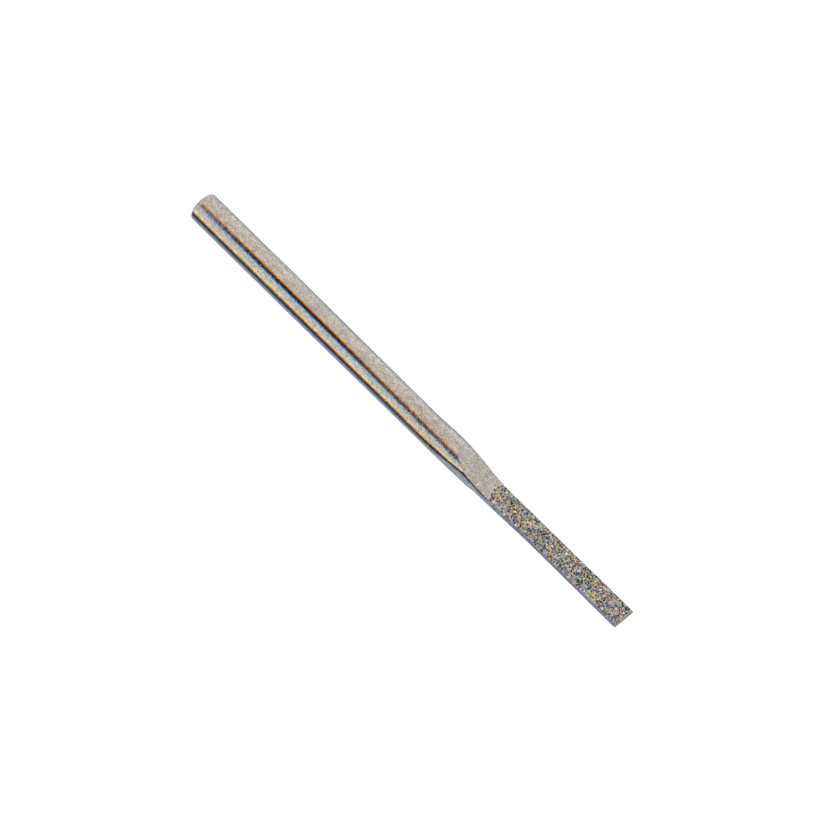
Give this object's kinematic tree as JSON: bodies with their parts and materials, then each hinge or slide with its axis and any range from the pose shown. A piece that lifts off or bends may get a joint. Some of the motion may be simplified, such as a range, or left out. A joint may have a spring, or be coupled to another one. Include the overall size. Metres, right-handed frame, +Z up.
{
  "type": "flat diamond dental file",
  "caption": "One-piece steel handpiece file: round straight shank, pressed neck and thin flat blade with a diamond-coated face on each side.",
  "frame": {"origin": "centre of the shank's flat rear end", "axes": "+X along the shank's axis towards the blade's tip, +Z up out of the blade's upper face, +Y across the blade"},
  "size_m": [0.0445, 0.0024, 0.0024],
  "materials": {
    "steel": "satin",
    "nickel": "satin",
    "diamond": "gloss"
  },
  "bodies": {
    "root": {"file_blank": "steel", "upper_nickel_bond": "nickel", "upper_diamond_grit": "diamond", "lower_nickel_bond": "nickel", "lower_diamond_grit": "diamond"}
  },
  "joints": []
}
